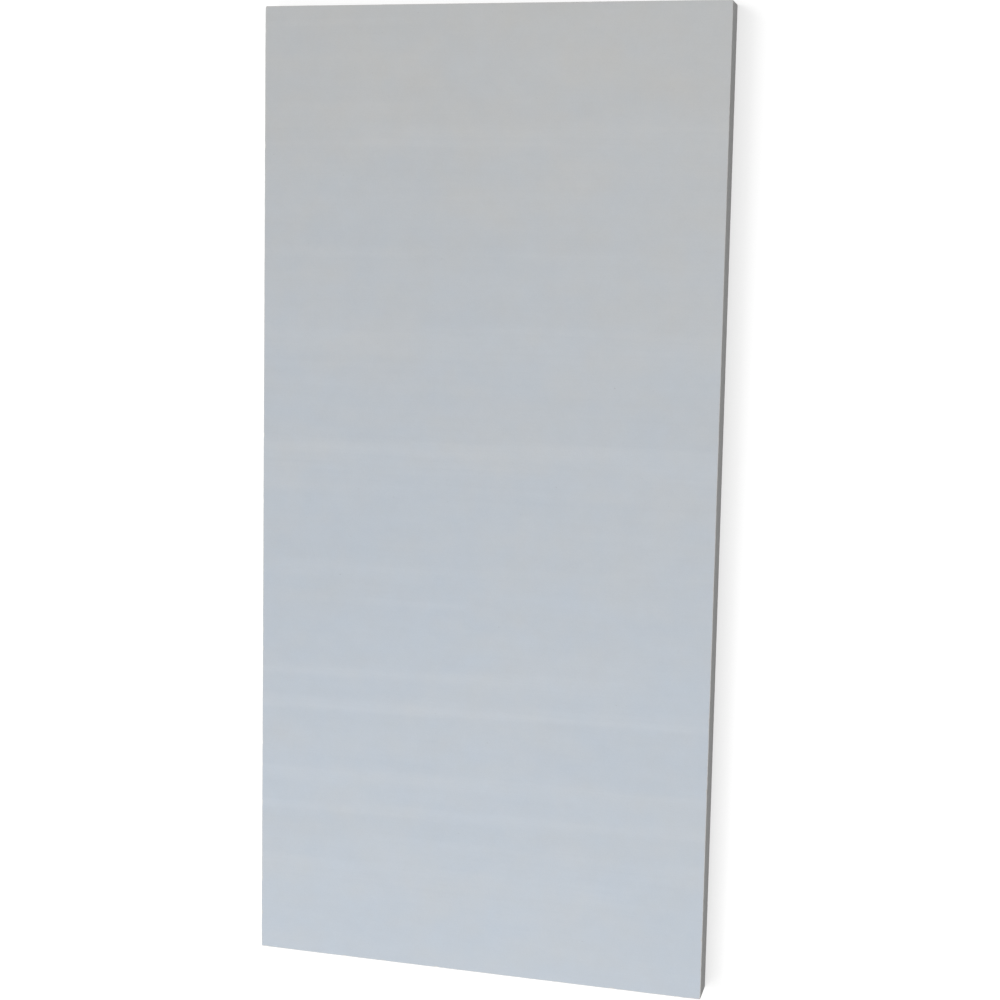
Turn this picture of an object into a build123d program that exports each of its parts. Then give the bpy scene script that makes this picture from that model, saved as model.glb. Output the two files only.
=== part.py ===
from build123d import *
import os

# Calcium silicate insulation board: one rigid slab, sawn square on its four edges.
# It lies flat. Width runs along X, length along Y and thickness along Z,
# and the origin is the middle of the underside.

# Sawn size of the board
BOARD_WIDTH = 600.0
BOARD_LENGTH = 1250.0
BOARD_THICKNESS = 40.0

# Wear from handling: the soft mineral crumbles back to a narrow flat along each arris,
# wider across the face than down the edge
ARRIS_ACROSS_FACE = 1.2
ARRIS_DOWN_EDGE = 0.8

# The four upright corners wear to a small round
CORNER_RADIUS = 2.0


def board_outline():
    """Plan of the board: a rectangle with worn corners."""
    return RectangleRounded(BOARD_WIDTH, BOARD_LENGTH, CORNER_RADIUS)


def break_arrises(slab, face):
    """The slab with the whole outline of one of its broad faces broken."""
    rim = face.outer_wire().edges()
    return chamfer(rim, ARRIS_ACROSS_FACE, ARRIS_DOWN_EDGE, reference=face)


def make_board():
    """The slab, cut to its outline, with the arrises of its front and its back broken."""
    slab = extrude(board_outline(), amount=BOARD_THICKNESS)
    slab = break_arrises(slab, slab.faces().sort_by(Axis.Z).last)
    slab = break_arrises(slab, slab.faces().sort_by(Axis.Z).first)
    return slab


board = make_board()
board.label = "board"

os.makedirs("parts", exist_ok=True)
export_step(board, "parts/board.step")
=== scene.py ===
import bpy
import math
import random
from mathutils import Matrix, Vector, noise
from mathutils.geometry import delaunay_2d_cdt


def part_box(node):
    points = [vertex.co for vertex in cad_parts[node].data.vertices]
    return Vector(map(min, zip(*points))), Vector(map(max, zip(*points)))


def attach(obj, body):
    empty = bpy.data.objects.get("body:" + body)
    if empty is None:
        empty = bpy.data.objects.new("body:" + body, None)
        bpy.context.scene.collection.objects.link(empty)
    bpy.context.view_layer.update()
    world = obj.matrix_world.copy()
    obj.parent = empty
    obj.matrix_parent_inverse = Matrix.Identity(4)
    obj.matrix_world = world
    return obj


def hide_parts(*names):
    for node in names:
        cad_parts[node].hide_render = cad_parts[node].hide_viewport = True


# A calcium silicate insulation board lying flat on a pale floor. Units are metres.
# X runs across the width, Y along the length and Z up through the thickness.
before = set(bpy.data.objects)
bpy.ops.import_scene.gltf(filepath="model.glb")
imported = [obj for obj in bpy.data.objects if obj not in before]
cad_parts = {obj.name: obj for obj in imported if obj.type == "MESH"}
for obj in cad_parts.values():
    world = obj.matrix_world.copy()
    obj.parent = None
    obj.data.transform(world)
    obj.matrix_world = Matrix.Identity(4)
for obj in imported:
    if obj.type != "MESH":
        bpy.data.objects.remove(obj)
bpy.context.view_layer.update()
board_low, board_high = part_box("board")
random.seed(11)

MM = 0.001
QUARTER_TURN = math.radians(90)
HALF_WIDTH = board_high.x
HALF_LENGTH = board_high.y

# The two broad faces
FRONT, BACK = 1, -1

# Outline of the board, sampled all round
CORNER_RADIUS = 2 * MM
OUTLINE_STEP = 2 * MM
CORNER_STEPS = 4

# Worn arris: how far it reaches across the face and down the edge, how much that varies,
# the sizes of the coarse and the fine variation, and the layer of the noise for each face's arris
ARRIS_ACROSS = 0.9 * MM
ARRIS_DOWN = 0.6 * MM
ARRIS_VARIES_SHARE = 0.36
ARRIS_COARSE = 24 * MM
ARRIS_FINE = 5 * MM
ARRIS_LAYERS = {FRONT: 1.0, BACK: 40.0}
ARRIS_STEPS = 4
CORNER_WEAR_REACH = 14 * MM
CORNER_WEAR_SHARE = 0.9

# Small crumbled places along the arrises, and how far one goes down the edge for its depth
CHIP_SPACING = 85 * MM
CHIP_LENGTHS = (2 * MM, 8 * MM)
CHIP_DEPTHS = (0.4 * MM, 1.3 * MM)
CHIP_DOWN_SHARE = 0.7

# Rows down the sawn edges, and the saw's marks there: their depth, how far they lean, and for the
# coarse and the fine ones their width, height, share of the depth and layer of the noise
EDGE_ROWS = 12
SAW_DEPTH = 0.22 * MM
SAW_LEAN = 0.12
SAW_MARKS = (
    (11 * MM, 120 * MM, 0.4, 2.0),
    (4 * MM, 60 * MM, 0.3, 7.0),
)

# Spacing of the points on the broad faces, closer along the length because the relief runs across,
# and of the rows along their border, as each row's inset and step
FACE_STEP_X = 12 * MM
FACE_STEP_Y = 3 * MM
BORDER_ROWS = ((3 * MM, 3 * MM), (7 * MM, 5 * MM))

# Joining the points of a broad face: nearer than this two count as one,
# and only the triangles inside the rim are kept
WELD_DISTANCE = 0.001 * MM
INSIDE_TRIANGLES = 1

# Relief of the broad faces: swells, ripples and the height of the sander's streaks
SWELL_DEPTH = 0.16 * MM
SWELL_SIZE = 260 * MM
SWELL_LAYER = 5
RIPPLE_DEPTH = 0.09 * MM
RIPPLE_LENGTH = 700 * MM
RIPPLE_PITCH = 62 * MM
RIPPLE_LAYER = 9
STREAK_HEIGHT = 0.05 * MM

# Paler streaks that the sander left across the front face. Each has its distance from the head end
# at the left edge, how fast it sets in and fades out, its two ends as shares of the width,
# its strength, and how much nearer the head end it lies at the right edge
FRONT_STREAKS = (
    (24 * MM, 4 * MM, 6 * MM, -0.1, 0.36, 0.45, 12 * MM),
    (126 * MM, 4 * MM, 24 * MM, -0.1, 0.36, 0.45, 6 * MM),
    (163 * MM, 7 * MM, 12 * MM, 0.18, 1.1, 0.50, 9 * MM),
    (171 * MM, 4 * MM, 6 * MM, -0.1, 1.1, 0.30, -2 * MM),
    (196 * MM, 5 * MM, 8 * MM, 0.36, 0.96, 0.25, 0.0),
    (311 * MM, 9 * MM, 5 * MM, -0.1, 0.38, 0.45, 2 * MM),
    (312 * MM, 5 * MM, 5 * MM, 0.50, 0.84, 0.40, 2 * MM),
    (411 * MM, 4 * MM, 60 * MM, -0.1, 1.1, 0.50, 7 * MM),
    (556 * MM, 4 * MM, 56 * MM, -0.1, 1.1, 0.75, 7 * MM),
    (566 * MM, 4 * MM, 6 * MM, -0.1, 0.86, 0.35, 8 * MM),
    (615 * MM, 7 * MM, 6 * MM, -0.1, 1.1, 0.30, 5 * MM),
    (722 * MM, 10 * MM, 12 * MM, -0.1, 0.40, 0.55, 16 * MM),
    (723 * MM, 4 * MM, 6 * MM, 0.30, 1.1, 0.30, 16 * MM),
    (765 * MM, 6 * MM, 4 * MM, -0.1, 0.50, 0.60, 10 * MM),
    (861 * MM, 6 * MM, 13 * MM, -0.1, 0.88, 0.85, 13 * MM),
    (911 * MM, 13 * MM, 5 * MM, -0.1, 1.1, 1.00, 11 * MM),
    (1000 * MM, 7 * MM, 14 * MM, -0.1, 1.1, 0.80, 9 * MM),
    (1051 * MM, 12 * MM, 5 * MM, -0.1, 1.1, 0.70, 10 * MM),
    (1080 * MM, 4 * MM, 26 * MM, 0.20, 1.1, 0.40, 0.0),
    (1120 * MM, 5 * MM, 40 * MM, -0.1, 0.90, 0.45, 0.0),
)

# The back's streaks are placed by chance within these limits
BACK_STREAKS = 18
BACK_RISES = (3 * MM, 7 * MM)
BACK_FADES = (5 * MM, 40 * MM)
BACK_LEFT_SHARES = (-0.3, 0.7)
BACK_REACH_SHARES = (0.2, 0.9)
BACK_STRENGTHS = (0.3, 1.0)
BACK_SLANTS = (0.0, 14 * MM)

# Every streak sways a little and fades out towards its ends. Past this many times
# its spread it is too faint to count
STREAK_SWAY = 4 * MM
STREAK_SWAY_LAYER = 3
STREAK_END_SHARE = 0.08
STREAK_CUT = 3


def outline():
    """Points round the board's plan, anticlockwise, each with its outward direction."""
    straight_x = HALF_WIDTH - CORNER_RADIUS
    straight_y = HALF_LENGTH - CORNER_RADIUS
    corners = [
        Vector((straight_x, -straight_y)),
        Vector((straight_x, straight_y)),
        Vector((-straight_x, straight_y)),
        Vector((-straight_x, -straight_y)),
    ]
    points = []
    for i, centre in enumerate(corners):
        start = QUARTER_TURN * (i - 1)
        for k in range(CORNER_STEPS + 1):
            angle = start + QUARTER_TURN * k / CORNER_STEPS
            outward = Vector((math.cos(angle), math.sin(angle)))
            points.append((centre + outward * CORNER_RADIUS, outward))
        last = points[-1][0]
        following = corners[(i + 1) % 4] + outward * CORNER_RADIUS
        steps = round((following - last).length / OUTLINE_STEP)
        for k in range(1, steps):
            points.append((last.lerp(following, k / steps), outward))
    return points


def make_chips(points):
    """Crumbled places, as (middle, half length, depth) along the outline. Most are shallow."""
    length = len(points) * OUTLINE_STEP
    chips = []
    for _ in range(round(length / CHIP_SPACING)):
        depth = CHIP_DEPTHS[0] + (CHIP_DEPTHS[1] - CHIP_DEPTHS[0]) * random.random() ** 3
        chips.append((random.randrange(len(points)), random.uniform(*CHIP_LENGTHS) / 2, depth))
    return chips


def arris_wear(points, side):
    """How deep a face's arris is worn at each outline point, as (across the face, down the edge)."""
    chip_depth = [0.0] * len(points)
    for middle, half, depth in make_chips(points):
        reach = max(1, round(half / OUTLINE_STEP))
        for k in range(-reach, reach + 1):
            bump = (1 - (k / (reach + 1)) ** 2) ** 2
            at = (middle + k) % len(points)
            chip_depth[at] = max(chip_depth[at], depth * bump)
    wear = []
    for (place, _), chipped in zip(points, chip_depth):
        near_corner = math.hypot(HALF_WIDTH - abs(place.x), HALF_LENGTH - abs(place.y))
        rise = 1 + CORNER_WEAR_SHARE * math.exp(-near_corner / CORNER_WEAR_REACH)
        spot = Vector((place.x, place.y, ARRIS_LAYERS[side]))
        varies = noise.noise(spot / ARRIS_COARSE) + noise.noise(spot / ARRIS_FINE)
        worn = rise * (1 + ARRIS_VARIES_SHARE * varies)
        wear.append((ARRIS_ACROSS * worn + chipped, ARRIS_DOWN * worn + CHIP_DOWN_SHARE * chipped))
    return wear


def back_streaks():
    """Streaks of the hidden back face, placed by chance."""
    streaks = []
    for _ in range(BACK_STREAKS):
        left = random.uniform(*BACK_LEFT_SHARES)
        streaks.append((
            random.uniform(0, 2 * HALF_LENGTH),
            random.uniform(*BACK_RISES),
            random.uniform(*BACK_FADES),
            left,
            left + random.uniform(*BACK_REACH_SHARES),
            random.uniform(*BACK_STRENGTHS),
            random.uniform(*BACK_SLANTS),
        ))
    return streaks


STREAKS = {FRONT: FRONT_STREAKS, BACK: back_streaks()}


def streak_strength(x, y, side):
    """How strongly the sander's streaks show at x, y on a broad face."""
    layer = STREAK_SWAY_LAYER * side
    sway = STREAK_SWAY * noise.noise(Vector((x / SWELL_SIZE, y / SWELL_SIZE, layer)))
    from_head = HALF_LENGTH - y + sway
    across_share = 0.5 + 0.5 * x / HALF_WIDTH
    total = 0.0
    for distance, rise, fade, left, right, strength, slant in STREAKS[side]:
        past = from_head - distance + slant * across_share
        spread_out = fade if past > 0 else rise
        if abs(past) > STREAK_CUT * spread_out:
            continue
        inside = min(across_share - left, right - across_share) / STREAK_END_SHARE
        total += strength * math.exp(-((past / spread_out) ** 2)) * min(1.0, max(0.0, inside))
    return min(1.0, total)


def face_relief(x, y, side):
    """How far a broad face lies inside its plane at x, y."""
    swell = noise.noise(Vector((x / SWELL_SIZE, y / SWELL_SIZE, SWELL_LAYER * side)))
    ripple = noise.noise(Vector((x / RIPPLE_LENGTH, y / RIPPLE_PITCH, RIPPLE_LAYER * side)))
    sunk = SWELL_DEPTH * max(0.0, 0.5 + 0.5 * swell) + RIPPLE_DEPTH * max(0.0, 0.5 + 0.5 * ripple)
    return sunk + STREAK_HEIGHT * (1 - streak_strength(x, y, side))


def saw_relief(along, height):
    """How far a sawn edge lies inside its plane, in leaning marks."""
    leaning = along + SAW_LEAN * height
    depth_share = 0.5
    for mark_width, mark_height, share, layer in SAW_MARKS:
        depth_share += share * noise.noise(Vector((leaning / mark_width, height / mark_height, layer)))
    return SAW_DEPTH * max(0.0, depth_share)


def height_at(depth, side):
    """Height of a point that lies this deep in the board, from its front or its back."""
    return board_high.z - depth if side == FRONT else board_low.z + depth


class BoardMesh:
    """Collects the board's points and faces, how worn and streaked they are, and their materials."""

    def __init__(self):
        self.points = []
        self.worn = []
        self.streaked = []
        self.faces = []
        self.slots = []

    def add_point(self, x, y, z, worn=0.0, streaked=0.0):
        self.points.append((x, y, z))
        self.worn.append(worn)
        self.streaked.append(streaked)
        return len(self.points) - 1

    def add_face(self, corners, slot):
        self.faces.append(corners)
        self.slots.append(slot)


# Order of the board's two materials
FACE_SLOT, EDGE_SLOT = 0, 1

# Smooth shading stops at edges sharper than this
SHARP_ANGLE = math.radians(28)


def arris_ring(mesh, points, wear, side, angle):
    """A ring of points over a worn arris, from the face at angle 0 to the edge at a quarter turn."""
    ring = []
    for (place, outward), (across, down) in zip(points, wear):
        x, y = place - outward * across * (1 - math.sin(angle))
        relief = face_relief(x, y, side) * math.cos(angle)
        sawn = saw_relief(place.x + place.y, height_at(0.0, side)) * math.sin(angle)
        x, y = Vector((x, y)) - outward * sawn
        z = height_at(down * (1 - math.cos(angle)) + relief, side)
        ring.append(mesh.add_point(x, y, z, 1.0, streak_strength(x, y, side)))
    return ring


def edge_rings(mesh, points):
    """The edges and both arrises. Gives the rims of the front and the back face."""
    top_wear = arris_wear(points, FRONT)
    under_wear = arris_wear(points, BACK)
    angles = [QUARTER_TURN * k / ARRIS_STEPS for k in range(ARRIS_STEPS + 1)]
    rings = [arris_ring(mesh, points, top_wear, FRONT, angle) for angle in angles]
    for row in range(1, EDGE_ROWS):
        ring = []
        for (place, outward), (_, top_down), (_, under_down) in zip(points, top_wear, under_wear):
            upper = height_at(top_down, FRONT)
            lower = height_at(under_down, BACK)
            z = upper + (lower - upper) * row / EDGE_ROWS
            x, y = place - outward * saw_relief(place.x + place.y, z)
            ring.append(mesh.add_point(x, y, z))
        rings.append(ring)
    rings += [arris_ring(mesh, points, under_wear, BACK, angle) for angle in reversed(angles)]
    count = len(points)
    for upper, lower in zip(rings, rings[1:]):
        for i in range(count):
            j = (i + 1) % count
            mesh.add_face((upper[i], lower[i], lower[j], upper[j]), EDGE_SLOT)
    return rings[0], rings[-1]


def spread(low, high, step):
    """Evenly spaced values from low to high, both included."""
    steps = max(1, round((high - low) / step))
    return [low + (high - low) * k / steps for k in range(steps + 1)]


def inner_places():
    """Places of the points within a broad face: rows along its border, then a grid."""
    places = []
    for inset, step in BORDER_ROWS:
        x, y = HALF_WIDTH - inset, HALF_LENGTH - inset
        for value in spread(-x, x, step):
            places += [(value, -y), (value, y)]
        for value in spread(-y, y, step)[1:-1]:
            places += [(-x, value), (x, value)]
    inset = BORDER_ROWS[-1][0] + FACE_STEP_Y
    for x in spread(-HALF_WIDTH + inset, HALF_WIDTH - inset, FACE_STEP_X):
        for y in spread(-HALF_LENGTH + inset, HALF_LENGTH - inset, FACE_STEP_Y):
            places.append((x, y))
    return places


def fill_face(mesh, rim, side):
    """Triangles over a broad face, from its rim inwards."""
    indices = list(rim)
    for x, y in inner_places():
        z = height_at(face_relief(x, y, side), side)
        indices.append(mesh.add_point(x, y, z, 0.0, streak_strength(x, y, side)))
    flat = [Vector(mesh.points[i][:2]) for i in indices]
    rim_loop = list(range(len(rim)))
    filled = delaunay_2d_cdt(flat, [], [rim_loop], INSIDE_TRIANGLES, WELD_DISTANCE)
    _, _, triangles, origins, _, _ = filled
    for triangle in triangles:
        corners = [indices[origins[k][0]] for k in triangle]
        mesh.add_face(corners if side == FRONT else corners[::-1], FACE_SLOT)


def make_board(materials):
    """The whole board as one closed mesh."""
    shape = BoardMesh()
    top_rim, under_rim = edge_rings(shape, outline())
    fill_face(shape, top_rim, FRONT)
    fill_face(shape, under_rim, BACK)
    mesh = bpy.data.meshes.new("sanded_board")
    mesh.from_pydata(shape.points, [], shape.faces)
    for material in materials:
        mesh.materials.append(material)
    mesh.polygons.foreach_set("material_index", shape.slots)
    for name, values in (("worn", shape.worn), ("streaked", shape.streaked)):
        mesh.attributes.new(name, "FLOAT", "POINT").data.foreach_set("value", values)
    mesh.shade_smooth()
    mesh.set_sharp_from_angle(angle=SHARP_ANGLE)
    mesh.update()
    board = bpy.data.objects.new("sanded_board", mesh)
    bpy.context.collection.objects.link(board)
    return board


class Nodes:
    """Adds and links the nodes of one node tree."""

    def __init__(self, tree):
        self.tree = tree
        tree.nodes.clear()

    def add(self, kind, inputs=(), **settings):
        """A node with its settings, and (socket, value or output) pairs for its inputs."""
        node = self.tree.nodes.new(kind)
        for name, value in settings.items():
            setattr(node, name, value)
        for socket, value in inputs:
            if isinstance(value, bpy.types.NodeSocket):
                self.tree.links.new(value, node.inputs[socket])
            else:
                node.inputs[socket].default_value = value
        return node

    def math(self, operation, a, b=0.0, c=0.0, clamp=False):
        """The result of a Math node."""
        node = self.add("ShaderNodeMath", ((0, a), (1, b), (2, c)), operation=operation, use_clamp=clamp)
        return node.outputs[0]

    def stretched_noise(self, coordinates, scale, detail, roughness):
        """Noise whose features are 1 / scale long on each axis."""
        placed = self.add("ShaderNodeMapping", (("Vector", coordinates), ("Scale", scale)))
        made = self.add(
            "ShaderNodeTexNoise",
            (("Vector", placed.outputs[0]), ("Scale", 1.0), ("Detail", detail), ("Roughness", roughness)),
        )
        return made.outputs["Fac"]

    def swing(self, value, amount):
        """The value, from 0 to 1, as a swing of up to half the amount each way."""
        return self.math("MULTIPLY_ADD", value, amount, -amount / 2)

    def total(self, values):
        """The sum of several values."""
        result = values[0]
        for value in values[1:]:
            result = self.math("ADD", result, value)
        return result

    def remap(self, value, low, high):
        """The value's range from low to high, as 0 to 1."""
        node = self.add("ShaderNodeMapRange", (("Value", value), ("From Min", low), ("From Max", high)))
        return node.outputs[0]

    def mix(self, factor, a, b):
        """A colour between a and b, by the Mix node's sockets for colours."""
        return self.add("ShaderNodeMix", ((0, factor), (6, a), (7, b)), data_type="RGBA").outputs[2]


# Linear colours of the mineral. The pairs are the darkest and lightest it swings between. The cool pair,
# taken on towards the foot end, is the mineral under painted cool light
COOL_DARK = (0.439, 0.493, 0.555, 1)
COOL_LIGHT = (0.577, 0.639, 0.717, 1)
NEUTRAL_DARK = (0.494, 0.494, 0.486, 1)
NEUTRAL_LIGHT = (0.649, 0.648, 0.638, 1)
WORN_COLOUR = (0.655, 0.656, 0.648, 1)
# Painted shade inside the pin-holes
PORE_SHADE_COLOUR = (0.310, 0.312, 0.310, 1)

# Matt and powdery: the scatter of its diffuse light, and its weak gloss
DIFFUSE_ROUGHNESS = 0.6
SPECULAR_LEVEL = 0.22

# Noises that swing the lightness, of the sanded face, of the saw's marks and of the sawn edge.
# Each has its features in a metre along each axis, its finer layers, their strength and the swing
FACE_NOISES = {
    "clouds": ((3.5, 2.6, 3.0), 2.0, 0.5, 0.12),
    "bands": ((1.4, 17.0, 1.0), 1.0, 0.5, 0.12),
    "lines": ((3.0, 110.0, 1.0), 2.0, 0.6, 0.07),
    "mottle": ((28.0, 32.0, 30.0), 4.0, 0.75, 0.26),
    "scratches": ((12.0, 900.0, 1.0), 1.0, 0.5, 0.07),
    "grain": ((620.0, 620.0, 620.0), 1.0, 0.7, 0.20),
}
MARK_NOISES = {
    "clouds": ((9.0, 20.0, 1.0), 3.0, 0.5, 0.20),
    "saw": ((240.0, 9.0, 1.0), 3.0, 0.6, 0.28),
    "teeth": ((900.0, 30.0, 1.0), 2.0, 0.5, 0.20),
}
EDGE_NOISES = {"grain": ((700.0, 700.0, 700.0), 3.0, 0.7, 0.32)}
FACE_LEVEL = 0.49
# The sawn edge sits a little darker than the face: painted shade of its rough, porous sawing
EDGE_LEVEL = 0.46

# Tinge of the face, from cool at 0 to neutral at 1: its plain level, the broad patches and the range
# of their noise that they span, and the fine patches. The noises are given as above, less the swing
TINGE_LEVEL = 0.22
BROAD_TINGE = ((7.0, 13.0, 11.0), 2.0, 0.6)
BROAD_TINGE_RANGE = (0.42, 0.66)
BROAD_TINGE_AMOUNT = 0.146
FINE_TINGE = ((34.0, 26.0, 40.0), 3.0, 0.7)
FINE_TINGE_SWING = 0.26

# Painted light: the tinge turns slowly from cool near the foot to neutral towards the head, standing in
# for cool light on the foot end. Given are where along the length it starts, how far that line leans over
# from side to side, the curve of the turn, and the amount
DRIFT_START = -0.225
DRIFT_LEAN = 0.18
DRIFT_CURVE = 1.5
DRIFT_AMOUNT = 0.60

# Streaks are broken up where the lines' noise is low, and are lighter and more neutral than the rest
STREAK_BREAKS = (0.10, 0.55)
STREAK_LIGHTER = 0.12
STREAK_WARMER = 0.05

# Along the arrises the mineral crumbles to a paler one where the grain's noise is high
CRUMBLE_RANGE = (0.30, 0.60)
CRUMBLE_AMOUNT = 0.55

# Pin-holes: the spacing of their pattern, the share of its cells that hold one and the largest size,
# then how dark their painted shade is, and where a rim fades, as shares of the size
FACE_PORES = (12 * MM, 0.40, 0.7 * MM)
EDGE_PORES = (4 * MM, 0.45, 0.8 * MM)
FACE_PORE_SHADE = 0.35
EDGE_PORE_SHADE = 0.45
PORE_RIM_SHARES = (-0.55, -0.25)

# Bump of each surface, as the weight of each noise and the height of the whole,
# and its roughness, as the least and what the grain adds
FACE_BUMPS = {"lines": 0.6, "grain": 0.6, "pores": -1.6}
EDGE_BUMPS = {"saw": 1.0, "teeth": 0.4, "grain": 0.5, "pores": -1.5}
FACE_BUMP_HEIGHT = 0.13 * MM
EDGE_BUMP_HEIGHT = 0.22 * MM
FACE_ROUGHNESS = (0.86, 0.10)
EDGE_ROUGHNESS = (0.90, 0.08)


def new_material(name):
    """A material, and the means to fill its node tree."""
    material = bpy.data.materials.new(name)
    material.use_nodes = True
    return material, Nodes(material.node_tree)


def lightness_noises(nodes, coordinates, table):
    """The noises of a table by name, and the sum of their swings of the lightness."""
    noises = {}
    swings = []
    for name, (scale, detail, strength, swing) in table.items():
        noises[name] = nodes.stretched_noise(coordinates, scale, detail, strength)
        swings.append(nodes.swing(noises[name], swing))
    return noises, nodes.total(swings)


def mineral_shader(nodes, colour, noises, bumps, bump_height, roughness):
    """A matt powdery surface with the given colour, bump and roughness."""
    height = nodes.total([nodes.math("MULTIPLY", noises[name], weight) for name, weight in bumps.items()])
    bump = nodes.add("ShaderNodeBump", (("Height", height), ("Strength", 1.0), ("Distance", bump_height)))
    least, added = roughness
    shader = nodes.add(
        "ShaderNodeBsdfPrincipled",
        (
            ("Base Color", colour),
            ("Roughness", nodes.math("MULTIPLY_ADD", noises["grain"], added, least)),
            ("Normal", bump.outputs[0]),
            ("Diffuse Roughness", DIFFUSE_ROUGHNESS),
            ("Specular IOR Level", SPECULAR_LEVEL),
        ),
    )
    nodes.add("ShaderNodeOutputMaterial", (("Surface", shader.outputs[0]),))


def pin_holes(nodes, coordinates, pores, ragged):
    """1 inside a pin-hole and 0 outside, with a soft rim made ragged by the given noise."""
    cell, share, size = pores
    cells = nodes.add(
        "ShaderNodeTexVoronoi",
        (("Vector", coordinates), ("Scale", 1 / cell), ("Randomness", 1.0)),
    )
    chance = nodes.add("ShaderNodeSeparateColor", (("Color", cells.outputs["Color"]),)).outputs[0]
    largest = nodes.math("MULTIPLY_ADD", chance, -size / cell / share, size / cell)
    edge = nodes.math("MULTIPLY_ADD", ragged, size / cell, cells.outputs["Distance"])
    inside = nodes.math("SUBTRACT", largest, edge)
    return nodes.remap(inside, *(rim * size / cell for rim in PORE_RIM_SHARES))


def painted_light_drift(nodes, coordinates):
    """How far the painted cool light has faded to neutral, from 0 near the foot to 1 at the head."""
    axes = nodes.add("ShaderNodeSeparateXYZ", (("Vector", coordinates),))
    leaning = nodes.math("MULTIPLY_ADD", axes.outputs["X"], DRIFT_LEAN, axes.outputs["Y"])
    return nodes.math("POWER", nodes.remap(leaning, DRIFT_START, HALF_LENGTH), DRIFT_CURVE)


def make_face_material():
    """Sanded broad face: mottled, with cross streaks, sanding lines, a tinge with painted cool light
    towards the foot end, and pin-holes darkened with painted shade.
    """
    material, nodes = new_material("sanded_calcium_silicate")
    place = nodes.add("ShaderNodeTexCoord").outputs["Object"]
    noises, swings = lightness_noises(nodes, place, FACE_NOISES)
    streaked = nodes.add("ShaderNodeAttribute", attribute_name="streaked").outputs["Fac"]
    streaks = nodes.math("MULTIPLY", streaked, nodes.remap(noises["lines"], *STREAK_BREAKS))
    lightness = nodes.math("ADD", swings, nodes.math("MULTIPLY", streaks, STREAK_LIGHTER))
    factor = nodes.math("ADD", lightness, FACE_LEVEL, clamp=True)
    cool = nodes.mix(factor, COOL_DARK, COOL_LIGHT)
    neutral = nodes.mix(factor, NEUTRAL_DARK, NEUTRAL_LIGHT)

    broad = nodes.remap(nodes.stretched_noise(place, *BROAD_TINGE), *BROAD_TINGE_RANGE)
    tinge_with_painted_light = nodes.total([
        nodes.math("MULTIPLY", broad, BROAD_TINGE_AMOUNT),
        nodes.swing(nodes.stretched_noise(place, *FINE_TINGE), FINE_TINGE_SWING),
        nodes.math("MULTIPLY", streaks, STREAK_WARMER),
        # Painted light: cool towards the foot end, turning neutral at the head
        nodes.math("MULTIPLY", painted_light_drift(nodes, place), DRIFT_AMOUNT),
    ])
    plain = nodes.mix(nodes.math("ADD", tinge_with_painted_light, TINGE_LEVEL, clamp=True), cool, neutral)
    noises["pores"] = pin_holes(nodes, place, FACE_PORES, noises["grain"])
    # Pin-holes darkened with painted shade
    colour = nodes.mix(nodes.math("MULTIPLY", noises["pores"], FACE_PORE_SHADE), plain, PORE_SHADE_COLOUR)
    mineral_shader(nodes, colour, noises, FACE_BUMPS, FACE_BUMP_HEIGHT, FACE_ROUGHNESS)
    return material


def make_edge_material():
    """Sawn edge: leaning saw marks, open pores darkened with painted shade, and paler mineral along the
    worn arrises.
    """
    material, nodes = new_material("sawn_calcium_silicate")
    place = nodes.add("ShaderNodeTexCoord").outputs["Object"]
    axes = nodes.add("ShaderNodeSeparateXYZ", (("Vector", place),))
    around = nodes.math("ADD", axes.outputs["X"], axes.outputs["Y"])
    leaning = nodes.math("MULTIPLY_ADD", axes.outputs["Z"], SAW_LEAN, around)
    unrolled = nodes.add("ShaderNodeCombineXYZ", (("X", leaning), ("Y", axes.outputs["Z"]))).outputs[0]
    noises, mark_swings = lightness_noises(nodes, unrolled, MARK_NOISES)
    fine_noises, fine_swings = lightness_noises(nodes, place, EDGE_NOISES)
    noises.update(fine_noises)
    lightness = nodes.math("ADD", mark_swings, fine_swings)
    sawn = nodes.mix(nodes.math("ADD", lightness, EDGE_LEVEL, clamp=True), NEUTRAL_DARK, NEUTRAL_LIGHT)

    worn = nodes.add("ShaderNodeAttribute", attribute_name="worn").outputs["Fac"]
    crumbled = nodes.math("MULTIPLY", worn, nodes.remap(noises["grain"], *CRUMBLE_RANGE))
    paler = nodes.mix(nodes.math("MULTIPLY", crumbled, CRUMBLE_AMOUNT), sawn, WORN_COLOUR)
    noises["pores"] = pin_holes(nodes, place, EDGE_PORES, noises["grain"])
    # Pin-holes darkened with painted shade
    colour = nodes.mix(nodes.math("MULTIPLY", noises["pores"], EDGE_PORE_SHADE), paler, PORE_SHADE_COLOUR)
    mineral_shader(nodes, colour, noises, EDGE_BUMPS, EDGE_BUMP_HEIGHT, EDGE_ROUGHNESS)
    return material


# The room's light, a broad key light from the left, given by its direction and spread, and a
# window past the foot end
AMBIENT = (0.460, 0.460, 0.460, 1)
KEY_STRENGTH = 1.505
KEY_DIRECTION = Vector((-0.75, 0.15, 0.85))
KEY_SPREAD = math.radians(35)
WINDOW_POWER = 17.7
WINDOW_PLACE = Vector((-0.25, -1.3, 1.8))
WINDOW_SIZE = 1.0

# The floor lies a little under the board. It is seen as this colour plus an even glow,
# which together are white, and sends less light than that back up
FLOOR_HALF = 9.0
FLOOR_DROP = 0.3 * MM
FLOOR_SHOWN = (0.43, 0.43, 0.43, 1)
FLOOR_GLOW = 0.66
FLOOR_BOUNCE = (0.30, 0.30, 0.30, 1)
WHITE = (1, 1, 1, 1)


def seen_directly(nodes):
    """1 for rays that show the background itself: camera, glossy and transmission rays."""
    path = nodes.add("ShaderNodeLightPath")
    shown = nodes.math("MAXIMUM", path.outputs["Is Camera Ray"], path.outputs["Is Glossy Ray"])
    return nodes.math("MAXIMUM", shown, path.outputs["Is Transmission Ray"])


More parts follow.
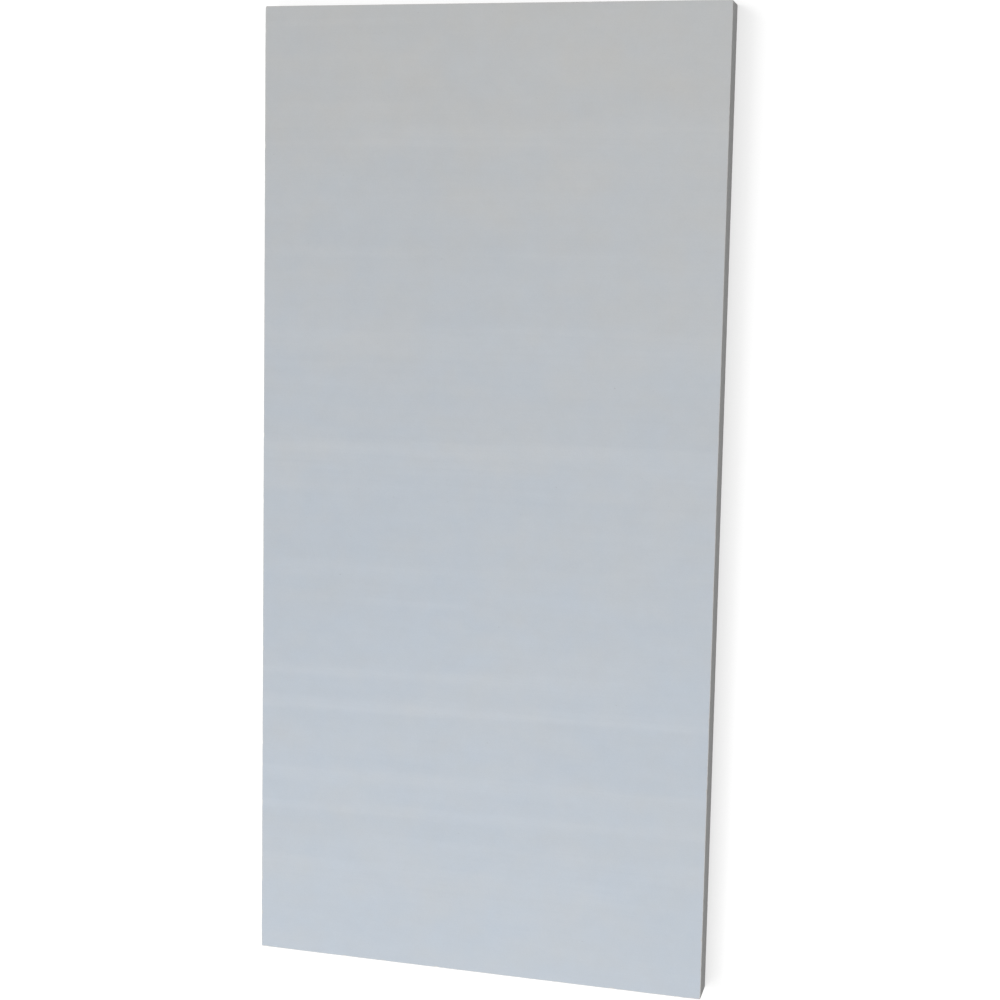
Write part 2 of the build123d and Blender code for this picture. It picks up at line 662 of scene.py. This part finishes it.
def make_floor():
    """Pale floor that keeps the board's shadow."""
    mesh = bpy.data.meshes.new("floor")
    z = board_low.z - FLOOR_DROP
    corners = [(-1, -1), (1, -1), (1, 1), (-1, 1)]
    mesh.from_pydata([(x * FLOOR_HALF, y * FLOOR_HALF, z) for x, y in corners], [], [(0, 1, 2, 3)])
    floor = bpy.data.objects.new("floor", mesh)
    bpy.context.collection.objects.link(floor)
    material, nodes = new_material("pale_floor")
    shown = nodes.add("ShaderNodeBsdfDiffuse", (("Color", FLOOR_SHOWN),))
    glow = nodes.add("ShaderNodeEmission", (("Strength", FLOOR_GLOW),))
    pale = nodes.add("ShaderNodeAddShader", ((0, shown.outputs[0]), (1, glow.outputs[0])))
    bounce = nodes.add("ShaderNodeBsdfDiffuse", (("Color", FLOOR_BOUNCE),))
    mixed = nodes.add(
        "ShaderNodeMixShader",
        ((0, seen_directly(nodes)), (1, bounce.outputs[0]), (2, pale.outputs[0])),
    )
    nodes.add("ShaderNodeOutputMaterial", (("Surface", mixed.outputs[0]),))
    mesh.materials.append(material)


def make_world():
    """White behind everything, and an even soft light from all round."""
    world = bpy.data.worlds.new("room")
    world.use_nodes = True
    nodes = Nodes(world.node_tree)
    light = nodes.add("ShaderNodeBackground", (("Color", AMBIENT),))
    white = nodes.add("ShaderNodeBackground", (("Color", WHITE), ("Strength", 1.0)))
    mixed = nodes.add(
        "ShaderNodeMixShader",
        ((0, seen_directly(nodes)), (1, light.outputs[0]), (2, white.outputs[0])),
    )
    nodes.add("ShaderNodeOutputWorld", (("Surface", mixed.outputs[0]),))
    bpy.context.scene.world = world


def aimed_lamp(data, direction):
    """A lamp that shines from the given direction."""
    lamp = bpy.data.objects.new(data.name, data)
    lamp.rotation_euler = direction.to_track_quat("Z", "Y").to_euler()
    bpy.context.collection.objects.link(lamp)
    return lamp


def make_lamps():
    """A broad key light from the left, and a window light from the foot end."""
    key = bpy.data.lights.new("key", "SUN")
    key.energy = KEY_STRENGTH
    key.angle = KEY_SPREAD
    aimed_lamp(key, KEY_DIRECTION)
    window = bpy.data.lights.new("window", "AREA")
    window.energy = WINDOW_POWER
    window.size = WINDOW_SIZE
    window_lamp = aimed_lamp(window, WINDOW_PLACE - Vector((0, 0, board_high.z)))
    window_lamp.location = WINDOW_PLACE
    window_lamp.visible_camera = False


# Viewpoint of the photograph, found from the corners of the board's face and the width of its side.
# The small shift is there because the photograph is cropped to the board
CAMERA_PLACE = Vector((0.6000, 0.3304, 2.2461))
CAMERA_AIM = Vector((0.0348, 0.0691, 0.04))
CAMERA_UP = Vector((-0.0476, 0.9933, -0.1055))
CAMERA_LENS = 65.04
CAMERA_SENSOR = 36.0
CAMERA_SHIFT = (-0.01, -0.05)


def make_camera():
    """The camera at the photograph's viewpoint."""
    data = bpy.data.cameras.new("camera")
    data.lens = CAMERA_LENS
    data.sensor_width = CAMERA_SENSOR
    data.shift_x, data.shift_y = CAMERA_SHIFT
    camera = bpy.data.objects.new("camera", data)
    bpy.context.collection.objects.link(camera)
    forward = (CAMERA_AIM - CAMERA_PLACE).normalized()
    right = forward.cross(CAMERA_UP).normalized()
    up = right.cross(forward)
    turn = Matrix((right, up, -forward)).transposed().to_4x4()
    camera.matrix_world = Matrix.Translation(CAMERA_PLACE) @ turn
    bpy.context.scene.camera = camera


board = make_board([make_face_material(), make_edge_material()])
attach(board, "root")
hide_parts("board")

make_floor()
make_world()
make_lamps()
make_camera()
bpy.context.scene.view_settings.view_transform = "Standard"
